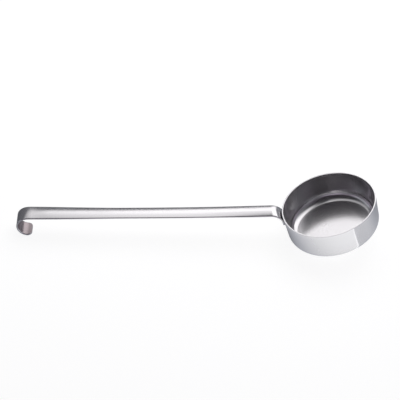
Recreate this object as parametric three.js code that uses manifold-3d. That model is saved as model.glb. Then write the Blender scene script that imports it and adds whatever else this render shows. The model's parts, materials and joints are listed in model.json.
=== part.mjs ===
// Sauce ladle: a straight-sided sheet cup with a steel strip handle welded on under its rim.
// Millimetres, +Z up. The ladle lies on a table, on its hook and on the cup's lower corner,
// with the handle towards -X. The origin is on the table, under the middle of the ladle's box.
import * as THREE from 'three';
import { mergeVertices } from 'three/addons/utils/BufferGeometryUtils.js';
import Module from 'manifold-3d';

const wasm = await Module();
wasm.setup();
const { degToRad, lerp, smoothstep } = THREE.MathUtils;

// Cup, all sizes on its outside
const CUP_RADIUS = 45.3;
const CUP_HEIGHT = 30.5;
const CUP_WALL = 1.2;
const CUP_DRAFT = degToRad(3.2);
const CUP_CORNER = 8;
const RIM_EDGE = 0.2;

// Handle strip, bend radii on its middle line
const STRIP_THICKNESS = 1.6;
const STRIP_WIDTH = 15.1;
const STRIP_CROWN_RADIUS = 43;
const SHANK_SPAN = 231.4;
const SHANK_SAG = 1.35;
const SHANK_SLOPE = degToRad(10.72);
const NECK_RADIUS = 11.5;
const HOOK_RADIUS = 10.2;
const HOOK_TURN = degToRad(180);
const HOOK_WIDTH = 17.5;
const HOOK_FLARE = 95;
const HOOK_FLATTEN = degToRad(90);
const TIP_LENGTH = 3.4;
const TIP_CORNER = 4.5;

// Weld tab, depths below the rim along the cup's axis
const TAB_TOP = 8.5;
const TAB_END = 12.6;
const TAB_WIDTH = 15.6;
const TAB_FLARE = 14;
const TAB_CORNER = 3;
const WELD_GAP = 0.3;

// Spot welds, each in a pocket of the tab's inner face
const SPOT_RADIUS = 1.4;
const SPOT_DEPTH = 0.6;
const SPOT_PITCH = 6;

// Facets
const CUP_SIDES = 96;
const CORNER_STEPS = 10;
const RIM_STEPS = 3;
const FACE_STEPS = 6;
const EDGE_STEPS = 6;
const END_STEPS = 5;
const SPOT_SIDES = 24;

// Cup frame: its base centre is the origin, its axis is +Z and "out" runs from the axis to the handle.
const wallRadius = (height) => CUP_RADIUS - (CUP_HEIGHT - height) * Math.tan(CUP_DRAFT);
const cornerOut = wallRadius(CUP_CORNER) - CUP_CORNER / Math.cos(CUP_DRAFT);
const wallNormal = new THREE.Vector2(Math.cos(CUP_DRAFT), -Math.sin(CUP_DRAFT));

function arcPoints(centre, radius, from, to, steps) {
  const points = [];
  for (let k = 0; k <= steps; k++) {
    const angle = lerp(from, to, k / steps);
    points.push(new THREE.Vector2(Math.cos(angle), Math.sin(angle)).multiplyScalar(radius).add(centre));
  }
  return points;
}

// Half section of the cup: base, corner and wall outside, flat rim with broken edges, the same inside
function cupProfile() {
  const cornerCentre = new THREE.Vector2(cornerOut, CUP_CORNER);
  const edgeHeight = CUP_HEIGHT - RIM_EDGE;
  const edgeIn = RIM_EDGE / Math.cos(CUP_DRAFT);
  const outerEdge = new THREE.Vector2(wallRadius(edgeHeight) - edgeIn, edgeHeight);
  const across = CUP_WALL / Math.cos(CUP_DRAFT);
  const innerEdge = new THREE.Vector2(outerEdge.x + 2 * edgeIn - across, edgeHeight);
  const up = Math.PI / 2;
  return [
    new THREE.Vector2(0, 0),
    ...arcPoints(cornerCentre, CUP_CORNER, -up, -CUP_DRAFT, CORNER_STEPS),
    ...arcPoints(outerEdge, RIM_EDGE, -CUP_DRAFT, up, RIM_STEPS),
    ...arcPoints(innerEdge, RIM_EDGE, up, Math.PI - CUP_DRAFT, RIM_STEPS),
    ...arcPoints(cornerCentre, CUP_CORNER - CUP_WALL, -CUP_DRAFT, -up, CORNER_STEPS),
    new THREE.Vector2(0, CUP_WALL),
  ];
}

function cupGeometry() {
  return new THREE.LatheGeometry(cupProfile(), CUP_SIDES).rotateX(Math.PI / 2);
}

// Middle line of the strip in the plane of symmetry, from the tab's end to the hook's tip.
// A piece is straight or round: it has a length and the angle that it turns to the left.
function stripPath() {
  const sagAngle = 2 * Math.atan2(2 * SHANK_SAG, SHANK_SPAN);
  const tabHeading = Math.PI / 2 - CUP_DRAFT;
  const neckTurn = SHANK_SLOPE - sagAngle - tabHeading;
  const shankLength = SHANK_SPAN * sagAngle / Math.sin(sagAngle);
  const pieces = {
    tab: { length: (TAB_END - TAB_TOP) / Math.cos(CUP_DRAFT), turn: 0, steps: 3 },
    neck: { length: -NECK_RADIUS * neckTurn, turn: neckTurn, steps: 12 },
    shank: { length: shankLength, turn: 2 * sagAngle, steps: 24 },
    hook: { length: HOOK_RADIUS * HOOK_TURN, turn: -HOOK_TURN, steps: 24 },
    tip: { length: TIP_LENGTH, turn: 0, steps: 2 },
  };
  const tabBottom = CUP_HEIGHT - TAB_END;
  const start = new THREE.Vector2(wallRadius(tabBottom), tabBottom);
  start.addScaledVector(wallNormal, WELD_GAP + STRIP_THICKNESS / 2);
  let station = { point: start, heading: tabHeading };
  let begin = 0;
  for (const piece of Object.values(pieces)) {
    Object.assign(piece, station, { begin });
    station = walk(piece, piece.length);
    begin += piece.length;
  }
  return { pieces, length: begin };
}

// Point and heading at some distance into a piece of the path
function walk(piece, distance) {
  const turned = piece.turn * distance / piece.length;
  const chord = turned === 0 ? distance : distance * Math.sin(turned / 2) / (turned / 2);
  const course = piece.heading + turned / 2;
  const step = new THREE.Vector2(Math.cos(course), Math.sin(course)).multiplyScalar(chord);
  return { point: piece.point.clone().add(step), heading: piece.heading + turned };
}

const path = stripPath();

function stationAt(along) {
  const piece = Object.values(path.pieces).findLast((candidate) => candidate.begin <= along);
  return walk(piece, along - piece.begin);
}

// Distances along the path where the strip has a section, closer together at its round ends
function sectionPlaces() {
  const places = [path.length];
  for (const piece of Object.values(path.pieces)) {
    for (let k = 0; k < piece.steps; k++) {
      places.push(piece.begin + piece.length * k / piece.steps);
    }
  }
  for (let k = 1; k <= END_STEPS; k++) {
    const share = 1 - Math.cos(k / END_STEPS * Math.PI / 2);
    places.push(TAB_CORNER * share, path.length - TIP_CORNER * share);
  }
  places.sort((a, b) => a - b);
  const closest = STRIP_THICKNESS / 40;
  return places.filter((place, k) => k === 0 || place - places[k - 1] > closest);
}

// How far a round corner draws in the strip's edge at some distance from the strip's end
function cornerInset(fromEnd, radius) {
  const left = Math.max(radius - fromEnd, 0);
  return radius - Math.sqrt(radius ** 2 - left ** 2);
}

function halfWidth(along) {
  const { neck, hook } = path.pieces;
  const leave = smoothstep(along, neck.begin, neck.begin + TAB_FLARE);
  const flare = smoothstep(along, hook.begin - HOOK_FLARE, hook.begin);
  const width = lerp(lerp(TAB_WIDTH, STRIP_WIDTH, leave), HOOK_WIDTH, flare);
  return width / 2 - cornerInset(along, TAB_CORNER) - cornerInset(path.length - along, TIP_CORNER);
}

const arcDepth = (radius, across) => radius - Math.sqrt(radius ** 2 - across ** 2);

// The tab hugs the cup, the shank's middle is crowned above its edges, and the hook flattens out.
function sectionRise(along, across) {
  const { neck, shank, hook } = path.pieces;
  const leave = smoothstep(along, neck.begin, shank.begin);
  const flatten = smoothstep(along, hook.begin, hook.begin + HOOK_RADIUS * HOOK_FLATTEN);
  const seatRadius = wallRadius(CUP_HEIGHT - TAB_TOP) + WELD_GAP;
  const edgeDepth = arcDepth(STRIP_CROWN_RADIUS, halfWidth(along));
  const crown = edgeDepth - arcDepth(STRIP_CROWN_RADIUS, across);
  return (1 - leave) * arcDepth(seatRadius, across) + leave * (1 - flatten) * crown;
}

// Section of the strip with full round edges: x runs across it, y towards its top face
function stripSection(along) {
  const edge = STRIP_THICKNESS / 2;
  const flat = halfWidth(along) - edge;
  const outline = [];
  for (const side of [1, -1]) {
    const from = -side * Math.PI / 2;
    const centre = new THREE.Vector2(side * flat, 0);
    outline.push(...arcPoints(centre, edge, from, from + Math.PI, EDGE_STEPS));
    for (let k = 1; k < FACE_STEPS; k++) {
      outline.push(new THREE.Vector2(lerp(flat, -flat, k / FACE_STEPS) * side, side * edge));
    }
  }
  return outline.map(({ x, y }) => new THREE.Vector2(x, y + sectionRise(along, x)));
}

// Loft through the strip's sections, closed by a flat cap at each end
function stripGeometry() {
  const outlines = sectionPlaces().map((along) => ({ outline: stripSection(along), ...stationAt(along) }));
  const count = outlines[0].outline.length;
  const position = [];
  for (const { outline, point, heading } of outlines) {
    for (const { x, y } of outline) {
      position.push(-(point.x - y * Math.sin(heading)), x, point.y + y * Math.cos(heading));
    }
  }
  const index = [];
  for (let ring = 0; ring < outlines.length - 1; ring++) {
    for (let k = 0; k < count; k++) {
      const here = ring * count + k;
      const next = ring * count + (k + 1) % count;
      index.push(here, next + count, next, here, here + count, next + count);
    }
  }
  const last = (outlines.length - 1) * count;
  for (const [a, b, c] of THREE.ShapeUtils.triangulateShape(outlines[0].outline, [])) {
    index.push(a, b, c);
  }
  for (const [a, b, c] of THREE.ShapeUtils.triangulateShape(outlines.at(-1).outline, [])) {
    index.push(last + c, last + b, last + a);
  }
  const geometry = new THREE.BufferGeometry();
  geometry.setAttribute('position', new THREE.Float32BufferAttribute(position, 3));
  geometry.setIndex(index);
  return geometry;
}

// Disc square to the cup's wall behind the tab, between two distances outside the wall
function spotDisc(radius, from, to, side) {
  const height = CUP_HEIGHT - (TAB_TOP + TAB_END) / 2;
  const bearing = side * Math.asin(SPOT_PITCH / 2 / wallRadius(height));
  return new THREE.CylinderGeometry(radius, radius, to - from, SPOT_SIDES)
    .rotateZ(Math.PI / 2)
    .translate(-(from + to) / 2, 0, 0)
    .rotateY(-CUP_DRAFT)
    .translate(-wallRadius(height), 0, height)
    .rotateZ(bearing);
}

// Clearance round a spot in its pocket is the same as the gap between tab and wall.
const spotGeometry = (side) => spotDisc(SPOT_RADIUS, WELD_GAP, WELD_GAP + SPOT_DEPTH, side);
const pocketGeometry = (side) => spotDisc(SPOT_RADIUS + WELD_GAP, 0, SPOT_DEPTH + 2 * WELD_GAP, side);

function toSolid(geometry) {
  const bare = geometry.clone();
  bare.deleteAttribute('normal');
  bare.deleteAttribute('uv');
  const merged = mergeVertices(bare);
  const vertProperties = Float32Array.from(merged.attributes.position.array);
  const triVerts = Uint32Array.from(merged.index.array);
  return new wasm.Manifold(new wasm.Mesh({ numProp: 3, vertProperties, triVerts }));
}

function toGeometry(solid) {
  const { vertProperties, triVerts } = solid.getMesh();
  const geometry = new THREE.BufferGeometry();
  geometry.setAttribute('position', new THREE.BufferAttribute(vertProperties, 3));
  geometry.setIndex(new THREE.BufferAttribute(triVerts, 1));
  geometry.computeVertexNormals();
  return geometry;
}

const SPOT_SIDE = { spot_weld_front: 1, spot_weld_back: -1 };

function handleGeometry() {
  let strip = toSolid(stripGeometry());
  for (const side of Object.values(SPOT_SIDE)) {
    strip = strip.subtract(toSolid(pocketGeometry(side)));
  }
  return toGeometry(strip);
}

// Slope of the line that touches the hook's bend and the cup's corner from below
function lieAngle() {
  const { point, heading } = path.pieces.hook;
  const hookCentre = new THREE.Vector2(Math.sin(heading), -Math.cos(heading));
  hookCentre.multiplyScalar(HOOK_RADIUS).add(point);
  const span = hookCentre.sub(new THREE.Vector2(cornerOut, CUP_CORNER));
  const hookOutside = HOOK_RADIUS + STRIP_THICKNESS / 2;
  return span.angle() - Math.asin((hookOutside - CUP_CORNER) / span.length());
}

const steel = (color, roughness) => new THREE.MeshStandardMaterial({ color, roughness, metalness: 1 });

function addPiece(group, name, geometry, material) {
  const mesh = new THREE.Mesh(geometry, material);
  mesh.name = name;
  group.add(mesh);
}

const ladle = new THREE.Group();
addPiece(ladle, 'cup', cupGeometry(), steel(0xc4c2c6, 0.28));
addPiece(ladle, 'strip_handle', handleGeometry(), steel(0xcbc9cc, 0.25));
for (const [name, side] of Object.entries(SPOT_SIDE)) {
  addPiece(ladle, name, spotGeometry(side), steel(0x9a989c, 0.5));
}

// Lay the ladle down and centre its box over the origin.
ladle.rotation.y = -lieAngle();
const box = new THREE.Box3().setFromObject(ladle, true);
const middle = box.getCenter(new THREE.Vector3());
ladle.position.set(-middle.x, -middle.y, -box.min.z);

export default ladle;
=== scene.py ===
import json
import math

import bpy
from mathutils import Matrix, Vector


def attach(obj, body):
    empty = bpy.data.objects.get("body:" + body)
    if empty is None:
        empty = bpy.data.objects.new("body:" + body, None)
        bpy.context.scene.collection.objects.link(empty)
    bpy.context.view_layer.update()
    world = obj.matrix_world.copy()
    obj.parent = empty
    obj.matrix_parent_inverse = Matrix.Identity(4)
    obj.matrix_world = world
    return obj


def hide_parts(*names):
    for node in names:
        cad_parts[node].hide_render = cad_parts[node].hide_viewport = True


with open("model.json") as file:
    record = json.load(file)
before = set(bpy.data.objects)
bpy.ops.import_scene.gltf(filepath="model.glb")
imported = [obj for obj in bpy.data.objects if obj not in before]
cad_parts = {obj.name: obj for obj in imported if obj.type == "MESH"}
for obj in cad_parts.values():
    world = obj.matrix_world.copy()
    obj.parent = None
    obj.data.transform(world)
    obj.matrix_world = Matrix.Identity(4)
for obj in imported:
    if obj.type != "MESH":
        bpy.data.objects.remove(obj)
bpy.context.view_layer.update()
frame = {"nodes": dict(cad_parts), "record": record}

MM = 0.001

# Cup, outside sizes in millimetres, as in the solids
CUP_RADIUS = 45.3
CUP_HEIGHT = 30.5
CUP_WALL = 1.2
CUP_DRAFT = math.radians(3.2)
CUP_CORNER = 8.0
RIM_EDGE = 0.2

# Inside of the cup: its lower corner, and how far below the rim its wall reaches the full draft
CUP_INNER_CORNER = 9.4
CUP_STEEP_TOP = 9.0

# Fineness of the cup's mesh, and the radii of the rings on its two flat faces
CUP_SIDES = 192
CORNER_STEPS = 24
LIP_STEPS = 6
OUTER_WALL_STEPS = 6
STEEP_STEPS = 12
LOWER_WALL_STEPS = 4
BASE_RINGS = (4.0, 12.0, 24.0, 34.0)
FLOOR_RINGS = (30.0, 21.0, 12.0, 4.0)

# Handle strip, bend radii on its middle line
STRIP_THICKNESS = 1.6
STRIP_WIDTH = 15.1
STRIP_CROWN_RADIUS = 43.0
SHANK_SPAN = 231.4
SHANK_SAG = 1.35
SHANK_SLOPE = math.radians(10.72)
NECK_RADIUS = 11.5
HOOK_RADIUS = 10.2
HOOK_TURN = math.radians(180)
HOOK_WIDTH = 17.5
HOOK_FLARE = 95.0
TIP_LENGTH = 3.4
TIP_CORNER = 4.5
TAB_TOP = 8.5
TAB_END = 12.6
TAB_WIDTH = 15.6
TAB_FLARE = 14.0
TAB_CORNER = 3.0
WELD_GAP = 0.3

# Fine form of the strip: its near flank bent by the neck, its crown flattening as the hook starts
NECK_FLANK = 0.8
NECK_FLANK_LENGTH = 75.0
FLATTEN_BEFORE = 20.0
FLATTEN_KNEE = 2.0
FLATTEN_AFTER = 16.0
FLATTEN_AT_KNEE = 0.6

# How gently the hook's bend starts, and how far along the bend it has joined the plain arc
HOOK_EASE = 4.0
HOOK_EASE_END = 16.0

# Fineness of the strip's mesh
PATH_STEPS = {"tab": 10, "neck": 40, "shank": 120, "hook": 72, "tip": 6}
END_STEPS = 16
LEAST_STEP = 0.02
EDGE_STEPS = 12
FACE_STEPS = 20
ROUNDING = 1e-9

# Brush marks per millimetre of steel, their depth in metres, and slow changes of tone per metre
TURNED_MARKS = 4.0
LENGTH_MARKS = (4.0, 0.04, 0.0)
MARK_DEPTH = 0.00004
CLOUD_SCALE = 60.0

# Tones of the marks and clouds between which the steel's roughness changes
TONE_LOW = 0.3
TONE_HIGH = 0.7

# How far from the floor's edge the finish of the cup's wall goes over into that of its floor
FINISH_BLEND_BEFORE = 3.0
FINISH_BLEND_AFTER = 2.0

# Broad soft gloss that the cup has over its sharp one
HAZE_ROUGHNESS = 0.5
HAZE_IOR = 2.45

# Places in the studio are in metres. A fade holds where it starts, where it ends and its two levels.

# Floor to the camera: a matt grey that takes the shadow, and a glow that lifts it to white
FLOOR_REACH = (-6.0, 6.0)
FLOOR_MATT = (0.3, 0.3, 0.3, 1)
FLOOR_GLOW = 0.88
FLOOR_BOUNCE = (0.9, 0.9, 0.9, 1)

# Floor in the steel, a glow seen only in reflections: painted shade round the cup, a slanting line with a
# painted glint along it, and slow fades
SHADE_CENTRE = (0.1, 0.0, 0.0)
SHADE_REACH = 0.045
SHADE_POWER = 1.3
OPEN_FLOOR = 1.33
LINE_START = (0.186, -0.0562)
LINE_SLOPE = 0.925
LINE_FADE = (-0.001, 0.001, 1.0, 0.64)
GLINT_OFFSET = 0.002
GLINT_FADE = (0.0, 0.003, 0.5, 0.0)
NEAR_FLOOR_FADE = (-0.03, 0.045, 1.0, 0.5)
BEHIND_CUP_FADE = (0.05, 0.12, 0.0, 0.75)
FAR_FLOOR_FADE = (0.15, 0.6, 1.0, 0.3)
LEFT_FLOOR_FADE = (-0.2, -0.06, 0.2, 1.0)
FLOOR_TINT_FADE = (0.4, 1.1, 0.0, 1.0)
DIM_FLOOR_TINT = (0.88, 0.91, 1.0, 1)
BRIGHT_FLOOR_TINT = (0.975, 0.985, 1.0, 1)

# Light card above and behind the ladle
CARD_X = (-1.2, 1.6)
CARD_Y = (-0.4, 1.8)
CARD_HEIGHT = 0.6
CARD_TINT = (1.0, 0.985, 0.99, 1)
CARD_BACKWARD = (-0.515, 0.858)
CARD_SIDEWAYS = (0.6, 0.8)
CARD_NEAR_FADE = (-0.3, 0.15, 0.0, 1.0)
CARD_FAR_FADE = (0.84, 0.77, 0.0, 1.0)
CARD_RIGHT_FADE = (0.8, 0.6, 0.0, 1.05)
BRIGHT_SIDE_FADE = (0.0, 0.2, 0.0, 1.0)
BRIGHT_LEFT_FADE = (-0.42, -0.1, 0.0, 1.0)
DIM_SIDE_FADE = (-0.3, 0.0, 0.0, 0.5)

# Dimmer stripe of the card that the handle's near half mirrors, wider over the neck
ABOVE_NECK_FADE = (-0.04, 0.03, 0.0, 1.0)
STRIPE_FAR_FADE = (0.64, 0.4, 0.0, 0.38)
STRIPE_NEAR_START = 0.1
STRIPE_NEAR_END = 0.28
NECK_STRIPE_FADE = (0.36, 0.1, 0.0, 0.5)
HANDLE_SIDE_FADE = (0.1, 0.22, 1.0, 0.0)

# Dim room around, by the direction that is looked in
LOW_ROOM_FADE = (0.46, 0.36, 0.0, 1.0)
LOW_ROOM_REAR_FADE = (0.5, 0.3, 0.0, 1.0)
FRONT_ROOM_FADE = (-0.75, -0.92, 0.2, 0.5)
END_ROOM_FADE = (0.75, 0.9, 0.0, 0.2)
HIGH_ROOM_FADE = (-0.2, 0.3, 0.03, 0.17)
RIGHT_ROOM_FADE = (0.2, 0.8, 0.0, 0.15)
ROOM_TINT_FADE = (-0.65, -0.15, 0.0, 1.0)
FRONT_ROOM_TINT = (1.0, 0.88, 1.07, 1)
ROOM_TINT = (0.93, 0.955, 1.04, 1)
WHITE = (1, 1, 1, 1)

# Camera of the photograph, fitted to the traced rim and strip, in millimetres but for its sight in metres
CAMERA_AZIMUTH = math.radians(1.835)
CAMERA_ELEVATION = math.radians(41.551)
CAMERA_ROLL = math.radians(-0.415)
CAMERA_DISTANCE = 2398.6
CAMERA_RIGHT_OF_CUP = -128.46
CAMERA_ABOVE_CUP = 26.51
CAMERA_LENS = 226.4
CAMERA_SENSOR = 36.0
CAMERA_SIGHT = 100.0


# The ladle's place in the frame

def cup_base():
    """Centre of the cup's base in millimetres, and the angle at which the ladle leans on its hook."""
    mount = next(m for m in frame["record"]["mounts"] if m["name"] == "cup_base")
    return Vector(mount["pos_m"]) / MM, math.asin(mount["axis"][0])


CUP_PLACE, LIE_ANGLE = cup_base()
LADLE_TURN = Matrix.Rotation(-LIE_ANGLE, 4, "Y")
LADLE_MATRIX = Matrix.Translation(CUP_PLACE * MM) @ LADLE_TURN @ Matrix.Scale(MM, 4)


def smoothstep(x, low, high):
    t = min(max((x - low) / (high - low), 0.0), 1.0)
    return t * t * (3 - 2 * t)


def lerp(a, b, t):
    return a + (b - a) * t


def between(start, end, steps):
    """Points that part the line from start to end into equal steps, without its ends."""
    return [tuple(lerp(a, b, k / steps) for a, b in zip(start, end)) for k in range(1, steps)]


def arc(centre, radius, start, end, steps):
    for k in range(steps + 1):
        angle = lerp(start, end, k / steps)
        yield centre[0] + radius * math.cos(angle), centre[1] + radius * math.sin(angle)


def mesh_piece(name, points, faces, face_uvs):
    """A smooth mesh object in the ladle's own millimetres, placed in the frame."""
    mesh = bpy.data.meshes.new(name)
    mesh.from_pydata(points, [], faces)
    layer = mesh.uv_layers.new(name="surface")
    for polygon, uvs in zip(mesh.polygons, face_uvs):
        polygon.use_smooth = True
        for loop, uv in zip(polygon.loop_indices, uvs):
            layer.data[loop].uv = uv
    mesh.transform(LADLE_MATRIX)
    piece = bpy.data.objects.new(name, mesh)
    bpy.context.scene.collection.objects.link(piece)
    return piece


# Cup

def wall_radius(height):
    return CUP_RADIUS - (CUP_HEIGHT - height) * math.tan(CUP_DRAFT)


def cup_lip():
    """Round edge of the rim, from its outside to its inside."""
    edge = CUP_HEIGHT - RIM_EDGE
    inset = RIM_EDGE / math.cos(CUP_DRAFT)
    outer = (wall_radius(edge) - inset, edge)
    inner = (wall_radius(edge) - CUP_WALL / math.cos(CUP_DRAFT) + inset, edge)
    top = math.pi / 2
    rise = list(arc(outer, RIM_EDGE, -CUP_DRAFT, top, LIP_STEPS))
    return rise + list(arc(inner, RIM_EDGE, top, math.pi - CUP_DRAFT, LIP_STEPS))


def steep_wall(rim):
    """Inside of the wall below the rim, upright at first and at full draft at the end."""
    wall = []
    for k in range(1, STEEP_STEPS + 1):
        depth = CUP_STEEP_TOP * k / STEEP_STEPS
        inward = depth ** 2 / (2 * CUP_STEEP_TOP) * math.tan(CUP_DRAFT)
        wall.append((rim[0] - inward, rim[1] - depth))
    return wall


def cup_profile():
    """Half section from near the base's centre, outside, to near the floor's centre, inside."""
    down = -math.pi / 2
    corner = (wall_radius(CUP_CORNER) - CUP_CORNER / math.cos(CUP_DRAFT), CUP_CORNER)
    outside = list(arc(corner, CUP_CORNER, down, -CUP_DRAFT, CORNER_STEPS))
    lip = cup_lip()
    steep = steep_wall(lip[-1])
    thinned = CUP_WALL - CUP_STEEP_TOP * math.tan(CUP_DRAFT) / 2
    height = CUP_WALL + CUP_INNER_CORNER
    reach = (thinned + CUP_INNER_CORNER) / math.cos(CUP_DRAFT)
    inner_corner = (wall_radius(height) - reach, height)
    inside = list(arc(inner_corner, CUP_INNER_CORNER, -CUP_DRAFT, down, CORNER_STEPS))
    base = [(radius, 0.0) for radius in BASE_RINGS]
    floor = [(radius, CUP_WALL) for radius in FLOOR_RINGS]
    outer_wall = between(outside[-1], lip[0], OUTER_WALL_STEPS)
    lower_wall = between(steep[-1], inside[0], LOWER_WALL_STEPS)
    return base + outside + outer_wall + lip + steep + lower_wall + inside + floor


PROFILE = cup_profile()
PROFILE_LENGTHS = [0.0]
for near, far in zip(PROFILE, PROFILE[1:]):
    PROFILE_LENGTHS.append(PROFILE_LENGTHS[-1] + math.dist(near, far))
FLOOR_BEGIN = PROFILE_LENGTHS[-1 - len(FLOOR_RINGS)]


def cup_cap(ring, middle, end, downward):
    """Faces and their texture places from a ring of the cup to the middle of a flat face."""
    faces, uvs = [], []
    for k in range(CUP_SIDES):
        a, b = ring * CUP_SIDES + k, ring * CUP_SIDES + (k + 1) % CUP_SIDES
        u0, u1 = k / CUP_SIDES, (k + 1) / CUP_SIDES
        length = PROFILE_LENGTHS[ring]
        corners = [(a, (u0, length)), (b, (u1, length)), (middle, ((u0 + u1) / 2, end))]
        if downward:
            corners.reverse()
        faces.append(tuple(point for point, _ in corners))
        uvs.append(tuple(uv for _, uv in corners))
    return faces, uvs


def make_cup():
    points, faces, uvs = [], [], []
    for radius, height in PROFILE:
        for k in range(CUP_SIDES):
            turn = 2 * math.pi * k / CUP_SIDES
            points.append((radius * math.cos(turn), radius * math.sin(turn), height))
    last = len(PROFILE) - 1
    for ring in range(last):
        v0, v1 = PROFILE_LENGTHS[ring], PROFILE_LENGTHS[ring + 1]
        for k in range(CUP_SIDES):
            a, b = ring * CUP_SIDES + k, ring * CUP_SIDES + (k + 1) % CUP_SIDES
            u0, u1 = k / CUP_SIDES, (k + 1) / CUP_SIDES
            faces.append((a, b, b + CUP_SIDES, a + CUP_SIDES))
            uvs.append(((u0, v0), (u1, v0), (u1, v1), (u0, v1)))
    base_end = -BASE_RINGS[0]
    floor_end = PROFILE_LENGTHS[-1] + FLOOR_RINGS[-1]
    for ring, height, end, downward in ((0, 0.0, base_end, True), (last, CUP_WALL, floor_end, False)):
        cap_faces, cap_uvs = cup_cap(ring, len(points), end, downward)
        points.append((0.0, 0.0, height))
        faces += cap_faces
        uvs += cap_uvs
    return mesh_piece("cup_shell", points, faces, uvs)


# Handle strip

def walk(piece, distance):
    """Place and heading after a distance along a straight or evenly bent piece of the middle line."""
    turned = piece["turn"] * distance / piece["length"]
    chord = distance if turned == 0 else distance * math.sin(turned / 2) / (turned / 2)
    course = piece["heading"] + turned / 2
    x = piece["x"] + chord * math.cos(course)
    y = piece["y"] + chord * math.sin(course)
    return x, y, piece["heading"] + turned


def strip_path():
    """Pieces of the strip's middle line, from tab to tip, and its whole length."""
    sag_angle = 2 * math.atan2(2 * SHANK_SAG, SHANK_SPAN)
    heading = math.pi / 2 - CUP_DRAFT
    neck_turn = SHANK_SLOPE - sag_angle - heading
    lengths_and_turns = {
        "tab": ((TAB_END - TAB_TOP) / math.cos(CUP_DRAFT), 0.0),
        "neck": (-NECK_RADIUS * neck_turn, neck_turn),
        "shank": (SHANK_SPAN * sag_angle / math.sin(sag_angle), 2 * sag_angle),
        "hook": (HOOK_RADIUS * HOOK_TURN, -HOOK_TURN),
        "tip": (TIP_LENGTH, 0.0),
    }
    bottom = CUP_HEIGHT - TAB_END
    off_wall = WELD_GAP + STRIP_THICKNESS / 2
    x = wall_radius(bottom) + off_wall * math.cos(CUP_DRAFT)
    y = bottom - off_wall * math.sin(CUP_DRAFT)
    begin = 0.0
    pieces = {}
    for name, (length, turn) in lengths_and_turns.items():
        pieces[name] = dict(x=x, y=y, heading=heading, length=length, turn=turn, begin=begin)
        x, y, heading = walk(pieces[name], length)
        begin += length
    return pieces, begin


PATH, PATH_LENGTH = strip_path()
NECK, SHANK, HOOK = (PATH[name]["begin"] for name in ("neck", "shank", "hook"))


def station_at(along):
    piece = [p for p in PATH.values() if p["begin"] <= along + ROUNDING][-1]
    return walk(piece, along - piece["begin"])


def section_places():
    """Places along the strip that get a section, closer together round the corners of its ends."""
    places = [PATH_LENGTH]
    for name, piece in PATH.items():
        steps = PATH_STEPS[name]
        places += [piece["begin"] + piece["length"] * k / steps for k in range(steps)]
    for k in range(1, END_STEPS + 1):
        share = 1 - math.cos(k / END_STEPS * math.pi / 2)
        places += [TAB_CORNER * share, PATH_LENGTH - TIP_CORNER * share]
    places.sort()
    return [p for k, p in enumerate(places) if k == 0 or p - places[k - 1] > LEAST_STEP]


def corner_inset(from_end, radius):
    left = max(radius - from_end, 0.0)
    return radius - math.sqrt(radius ** 2 - left ** 2)


def half_width(along):
    leave = smoothstep(along, NECK, NECK + TAB_FLARE)
    flare = smoothstep(along, HOOK - HOOK_FLARE, HOOK)
    width = lerp(lerp(TAB_WIDTH, STRIP_WIDTH, leave), HOOK_WIDTH, flare)
    insets = corner_inset(along, TAB_CORNER) + corner_inset(PATH_LENGTH - along, TIP_CORNER)
    return width / 2 - insets


def arc_depth(radius, across):
    return radius - math.sqrt(radius ** 2 - across ** 2)


def flatness(along):
    """How much of the crown has gone: most of it before the hook, the rest inside the bend."""
    knee = HOOK + FLATTEN_KNEE
    before = smoothstep(along, HOOK - FLATTEN_BEFORE, knee)
    after = smoothstep(along, knee, HOOK + FLATTEN_AFTER)
    return FLATTEN_AT_KNEE * before + (1 - FLATTEN_AT_KNEE) * after


def section_rise(along, across):
    """Rise of the strip's section: curved to the cup at the tab, crowned along the shank."""
    leave = smoothstep(along, NECK, SHANK)
    half = half_width(along)
    seat = wall_radius(CUP_HEIGHT - TAB_TOP) + WELD_GAP
    crown = arc_depth(STRIP_CROWN_RADIUS, half) - arc_depth(STRIP_CROWN_RADIUS, across)
    near_side = min(across / half, 0.0)
    bent = NECK_FLANK * (1 - smoothstep(along, SHANK, SHANK + NECK_FLANK_LENGTH))
    flank = bent * (1 / 2 - near_side ** 2)
    return (1 - leave) * arc_depth(seat, across) + leave * ((1 - flatness(along)) * crown + flank)


def bend_ease(along):
    """How far the hook's bend lies inside the plain arc, because its curvature grows evenly at first."""
    past = along - HOOK
    if past <= -HOOK_EASE:
        return 0.0
    if past >= HOOK_EASE:
        inside = HOOK_EASE ** 2 / (6 * HOOK_RADIUS)
    else:
        eased = (past + HOOK_EASE) ** 3 / (12 * HOOK_EASE * HOOK_RADIUS)
        inside = eased - max(past, 0.0) ** 2 / (2 * HOOK_RADIUS)
    return inside * (1 - smoothstep(along, HOOK + HOOK_EASE, HOOK + HOOK_EASE_END))


def strip_section(along):
    """Outline across the strip: an edge, the top, the other edge and the underside."""
    edge = STRIP_THICKNESS / 2
    flat = half_width(along) - edge
    outline = []
    for side in (1, -1):
        start = -side * math.pi / 2
        outline += arc((side * flat, 0.0), edge, start, start + math.pi, EDGE_STEPS)
        outline += [(x * side, side * edge) for x, _ in between((flat, 0), (-flat, 0), FACE_STEPS)]
    ease = bend_ease(along)
    return [(x, y + section_rise(along, x) - ease) for x, y in outline]


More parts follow.
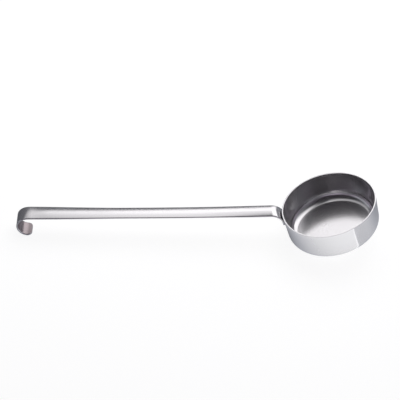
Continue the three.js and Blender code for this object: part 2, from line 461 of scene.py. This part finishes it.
def make_strip():
    places = section_places()
    points, faces, uvs, across = [], [], [], []
    for along in places:
        outline = strip_section(along)
        px, py, heading = station_at(along)
        across.append([x for x, _ in outline])
        for x, y in outline:
            points.append((y * math.sin(heading) - px, x, py + y * math.cos(heading)))
    count = len(across[0])
    last = len(places) - 1
    for ring in range(last):
        here, there = across[ring], across[ring + 1]
        v0, v1 = places[ring], places[ring + 1]
        for k in range(count):
            j = (k + 1) % count
            a, b = ring * count + k, ring * count + j
            faces.append((a, a + count, b + count, b))
            uvs.append(((here[k], v0), (there[k], v1), (there[j], v1), (here[j], v0)))
    faces.append(tuple(range(count)))
    uvs.append(tuple((x, places[0]) for x in across[0]))
    faces.append(tuple(last * count + k for k in reversed(range(count))))
    uvs.append(tuple((x, places[last]) for x in reversed(across[last])))
    piece = mesh_piece("handle_strip", points, faces, uvs)
    # Underside faces take the second slot, a darker copy of the steel that is painted shade
    for polygon in piece.data.polygons[:last * count]:
        polygon.material_index = int(polygon.index % count >= count - FACE_STEPS)
    return piece


# Materials

class Nodes:
    """Short way to add shader nodes to a tree and link them."""

    def __init__(self, tree):
        self.tree = tree
        tree.nodes.clear()

    def add(self, kind, inputs=None, **settings):
        made = self.tree.nodes.new("ShaderNode" + kind)
        for key, value in settings.items():
            setattr(made, key, value)
        for key, value in (inputs or {}).items():
            if isinstance(value, bpy.types.NodeSocket):
                self.tree.links.new(value, made.inputs[key])
            else:
                made.inputs[key].default_value = value
        return made

    def math(self, operation, a, b=0.0):
        return self.add("Math", {0: a, 1: b}, operation=operation).outputs[0]

    def product(self, first, *others):
        for other in others:
            first = self.math("MULTIPLY", first, other)
        return first

    def fade(self, value, start, end, at_start, at_end):
        """Smooth change from one level to another while value goes from start to end."""
        inputs = {"Value": value, "From Min": start, "From Max": end, "To Min": at_start, "To Max": at_end}
        return self.add("MapRange", inputs, interpolation_type="SMOOTHSTEP").outputs["Result"]

    def mix(self, factor, a, b):
        return self.add("Mix", {"Factor": factor, 6: a, 7: b}, data_type="RGBA").outputs[2]

    def surface_place(self):
        """Texture place on a piece: round or across it, and along its profile or length."""
        uv = self.add("UVMap", uv_map="surface").outputs[0]
        return uv, self.add("SeparateXYZ", {0: uv}).outputs


def new_material(name):
    material = bpy.data.materials.new(name)
    material.use_nodes = True
    return material, Nodes(material.node_tree)


def turned_lines(n):
    """Marks round the cup's axis: the angle runs slowly, the way across the sheet quickly."""
    _, (u, v, _) = n.surface_place()
    turn = n.math("MULTIPLY", u, 2 * math.pi)
    across = n.math("MULTIPLY", v, TURNED_MARKS)
    return n.add("CombineXYZ", {0: n.math("COSINE", turn), 1: n.math("SINE", turn), 2: across}).outputs[0]


def length_lines(n):
    """Marks along the strip."""
    uv, _ = n.surface_place()
    return n.add("VectorMath", {0: uv, 1: LENGTH_MARKS}, operation="MULTIPLY").outputs[0]


def steel_material(name, lines, bright, dull, roughness, unevenness, bump, floor_roughness=None, haze=0.0):
    """Brushed steel with marks along lines. haze adds a broad soft gloss over the sharp one."""
    material, n = new_material(name)
    marks = n.add("TexNoise", {"Vector": lines(n), "Scale": 1.0, "Detail": 4.0, "Roughness": 0.6})
    place = n.add("TexCoord").outputs["Object"]
    cloud = n.add("TexNoise", {"Vector": place, "Scale": CLOUD_SCALE, "Detail": 3.0})
    tone = n.math("MULTIPLY", n.math("ADD", marks.outputs[0], cloud.outputs[0]), 1 / 2)
    rough = n.fade(tone, TONE_LOW, TONE_HIGH, roughness - unevenness, roughness + unevenness)
    if floor_roughness:
        _, (_, v, _) = n.surface_place()
        blend_start = FLOOR_BEGIN - FINISH_BLEND_BEFORE
        blend_end = FLOOR_BEGIN + FINISH_BLEND_AFTER
        added = n.fade(v, blend_start, blend_end, 0.0, floor_roughness - roughness)
        rough = n.math("ADD", rough, added)
    height = n.add("Bump", {"Height": marks.outputs[0], "Strength": bump, "Distance": MARK_DEPTH})
    surface = n.add("BsdfPrincipled", {
        "Base Color": n.mix(tone, dull, bright),
        "Metallic": 1.0,
        "Roughness": rough,
        "Normal": height.outputs[0],
        "Coat Weight": haze,
        "Coat Roughness": HAZE_ROUGHNESS,
        "Coat IOR": HAZE_IOR,
    })
    n.add("OutputMaterial", {"Surface": surface.outputs[0]})
    return material


def cup_steel():
    """Turned steel, smoother on the wall than on the floor inside."""
    return steel_material(
        "cup_steel", turned_lines, bright=(0.66, 0.65, 0.66, 1), dull=(0.6, 0.59, 0.6, 1),
        roughness=0.12, unevenness=0.02, bump=0.02, floor_roughness=0.21, haze=1.0)


def handle_steel():
    return steel_material(
        "handle_steel", length_lines, bright=(0.7, 0.69, 0.7, 1), dull=(0.63, 0.62, 0.63, 1),
        roughness=0.2, unevenness=0.03, bump=0.04)


def handle_underside_painted_shade():
    """Duller side of the strip, which shows inside the hook, the same steel painted darker as painted
    shade.
    """
    return steel_material(
        "handle_underside_painted_shade", length_lines, bright=(0.38, 0.33, 0.34, 1), dull=(0.33, 0.285, 0.295, 1),
        roughness=0.3, unevenness=0.04, bump=0.04)


def weld_steel():
    return steel_material(
        "weld_steel", turned_lines, bright=(0.45, 0.44, 0.45, 1), dull=(0.3, 0.29, 0.3, 1),
        roughness=0.45, unevenness=0.08, bump=0.3)


# Pieces of the ladle, on their body

cup = make_cup()
strip = make_strip()
for piece, node, slot in ((cup, "cup", "cup_steel"), (strip, "strip_handle", "handle_steel")):
    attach(piece, "root")
    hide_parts(node)

cup.data.materials.append(cup_steel())
strip.data.materials.append(handle_steel())
# Darker copy of the steel for the underside: painted shade
strip.data.materials.append(handle_underside_painted_shade())
weld = weld_steel()
for node in ("spot_weld_front", "spot_weld_back"):
    frame["nodes"][node].data.materials.clear()
    frame["nodes"][node].data.materials.append(weld)


# Studio

def stage_plane(name, x_reach, y_reach, height):
    (x0, x1), (y0, y1) = x_reach, y_reach
    mesh = bpy.data.meshes.new(name)
    corners = [(x0, y0, height), (x1, y0, height), (x1, y1, height), (x0, y1, height)]
    mesh.from_pydata(corners, [], [(0, 1, 2, 3)])
    plane = bpy.data.objects.new(name, mesh)
    bpy.context.scene.collection.objects.link(plane)
    return plane


def mirrored_floor(n):
    """Level of the floor in the steel: painted shade round the cup, brighter farther out, dimmer past a
    line with a painted glint along it.
    """
    position = n.add("NewGeometry").outputs["Position"]
    x, y, _ = n.add("SeparateXYZ", {0: position}).outputs
    measure = n.add("VectorMath", {0: position, 1: SHADE_CENTRE}, operation="DISTANCE")
    distance = n.math("DIVIDE", measure.outputs["Value"], SHADE_REACH)
    shade = n.math("EXPONENT", n.math("MULTIPLY", n.math("POWER", distance, SHADE_POWER), -1.0))
    open_floor = n.math("MULTIPLY", n.math("SUBTRACT", 1.0, shade), OPEN_FLOOR)
    slanted = n.math("MULTIPLY", n.math("SUBTRACT", x, LINE_START[0]), LINE_SLOPE)
    past_line = n.math("ADD", slanted, n.math("SUBTRACT", y, LINE_START[1]))
    from_glint = n.math("ABSOLUTE", n.math("ADD", past_line, GLINT_OFFSET))
    sides = n.math("ADD", n.fade(past_line, *LINE_FADE), n.fade(from_glint, *GLINT_FADE))
    depth = n.math("MAXIMUM", n.fade(y, *NEAR_FLOOR_FADE), n.fade(y, *BEHIND_CUP_FADE))
    return n.product(open_floor, sides, depth, n.fade(y, *FAR_FLOOR_FADE), n.fade(x, *LEFT_FLOOR_FADE))


def make_floor():
    """Pale floor: near white to the camera with the ladle's shadow, and a shaped glow in the steel."""
    floor = stage_plane("floor", FLOOR_REACH, FLOOR_REACH, 0.0)
    material, n = new_material("floor_paper")
    rays = n.add("LightPath").outputs
    level = mirrored_floor(n)
    tint = n.mix(n.fade(level, *FLOOR_TINT_FADE), DIM_FLOOR_TINT, BRIGHT_FLOOR_TINT)
    mirrored = n.add("Emission", {"Color": tint, "Strength": level})
    bounce = n.add("BsdfDiffuse", {"Color": FLOOR_BOUNCE})
    matt = n.add("BsdfDiffuse", {"Color": FLOOR_MATT})
    glow = n.add("Emission", {"Color": WHITE, "Strength": FLOOR_GLOW})
    seen = n.add("AddShader", {0: matt.outputs[0], 1: glow.outputs[0]})
    plain = n.add("MixShader", {0: rays["Is Camera Ray"], 1: bounce.outputs[0], 2: seen.outputs[0]})
    surface = n.add("MixShader", {0: rays["Is Glossy Ray"], 1: plain.outputs[0], 2: mirrored.outputs[0]})
    n.add("OutputMaterial", {"Surface": surface.outputs[0]})
    floor.data.materials.append(material)


def card_level(n):
    """Level over the light card: a bright part and a dim one, faded at its edges, with a dimmer stripe."""
    x, y, _ = n.add("SeparateXYZ", {0: n.add("NewGeometry").outputs["Position"]}).outputs

    def measured(way):
        return n.math("ADD", n.math("MULTIPLY", x, way[0]), n.math("MULTIPLY", y, way[1]))

    backward = measured(CARD_BACKWARD)
    sideways = measured(CARD_SIDEWAYS)
    edges = n.product(
        n.fade(backward, *CARD_NEAR_FADE), n.fade(backward, *CARD_FAR_FADE), n.fade(x, *CARD_RIGHT_FADE))
    bright = n.product(n.fade(sideways, *BRIGHT_SIDE_FADE), n.fade(x, *BRIGHT_LEFT_FADE))
    light = n.math("ADD", bright, n.fade(sideways, *DIM_SIDE_FADE))
    above_neck = n.fade(x, *ABOVE_NECK_FADE)
    near_end = n.fade(y, STRIPE_NEAR_START, STRIPE_NEAR_END, above_neck, 1.0)
    stripe = n.product(n.fade(y, *STRIPE_FAR_FADE), near_end)
    neck_stripe = n.product(n.fade(y, *NECK_STRIPE_FADE), above_neck)
    shade = n.product(n.math("ADD", stripe, neck_stripe), n.fade(x, *HANDLE_SIDE_FADE))
    return n.product(edges, light, n.math("SUBTRACT", 1.0, shade))


def make_light_card():
    """Card that lights the ladle and shows only in its reflections."""
    card = stage_plane("rear_light", CARD_X, CARD_Y, CARD_HEIGHT)
    card.visible_camera = False
    material, n = new_material("rear_light")
    glow = n.add("Emission", {"Color": CARD_TINT, "Strength": card_level(n)})
    clear = n.add("BsdfTransparent")
    surface = n.add("AddShader", {0: glow.outputs[0], 1: clear.outputs[0]})
    n.add("OutputMaterial", {"Surface": surface.outputs[0]})
    card.data.materials.append(material)


def make_world():
    """White to the camera, and to the steel a dim room that is lighter low down and towards the rear."""
    world = bpy.data.worlds.new("studio")
    bpy.context.scene.world = world
    world.use_nodes = True
    n = Nodes(world.node_tree)
    rays = n.add("LightPath").outputs
    x, y, z = n.add("SeparateXYZ", {0: n.add("TexCoord").outputs["Generated"]}).outputs
    ends = n.fade(n.math("ABSOLUTE", x), *END_ROOM_FADE)
    around = n.math("ADD", n.fade(y, *FRONT_ROOM_FADE), ends)
    low = n.product(n.fade(z, *LOW_ROOM_FADE), n.fade(y, *LOW_ROOM_REAR_FADE), around)
    high = n.math("ADD", n.fade(y, *HIGH_ROOM_FADE), n.fade(x, *RIGHT_ROOM_FADE))
    tint = n.mix(n.fade(y, *ROOM_TINT_FADE), FRONT_ROOM_TINT, ROOM_TINT)
    room = n.add("Background", {"Color": tint, "Strength": n.math("ADD", low, high)})
    white = n.add("Background", {"Color": WHITE, "Strength": 1.0})
    surface = n.add("MixShader", {0: rays["Is Camera Ray"], 1: room.outputs[0], 2: white.outputs[0]})
    n.add("OutputWorld", {"Surface": surface.outputs[0]})


def make_camera():
    back = Vector((
        math.sin(CAMERA_AZIMUTH) * math.cos(CAMERA_ELEVATION),
        -math.cos(CAMERA_AZIMUTH) * math.cos(CAMERA_ELEVATION),
        math.sin(CAMERA_ELEVATION)))
    level = Vector((math.cos(CAMERA_AZIMUTH), math.sin(CAMERA_AZIMUTH), 0.0))
    right = Matrix.Rotation(CAMERA_ROLL, 3, back) @ level
    up = back.cross(right)
    target = CUP_PLACE + right * CAMERA_RIGHT_OF_CUP + up * CAMERA_ABOVE_CUP
    data = bpy.data.cameras.new("camera")
    data.sensor_width = CAMERA_SENSOR
    data.lens = CAMERA_LENS
    data.clip_end = CAMERA_SIGHT
    camera = bpy.data.objects.new("camera", data)
    camera.location = (target + back * CAMERA_DISTANCE) * MM
    camera.rotation_euler = Matrix((right, up, back)).transposed().to_euler()
    bpy.context.scene.collection.objects.link(camera)
    bpy.context.scene.camera = camera


make_floor()
make_light_card()
make_world()
make_camera()
bpy.context.scene.view_settings.view_transform = "Standard"
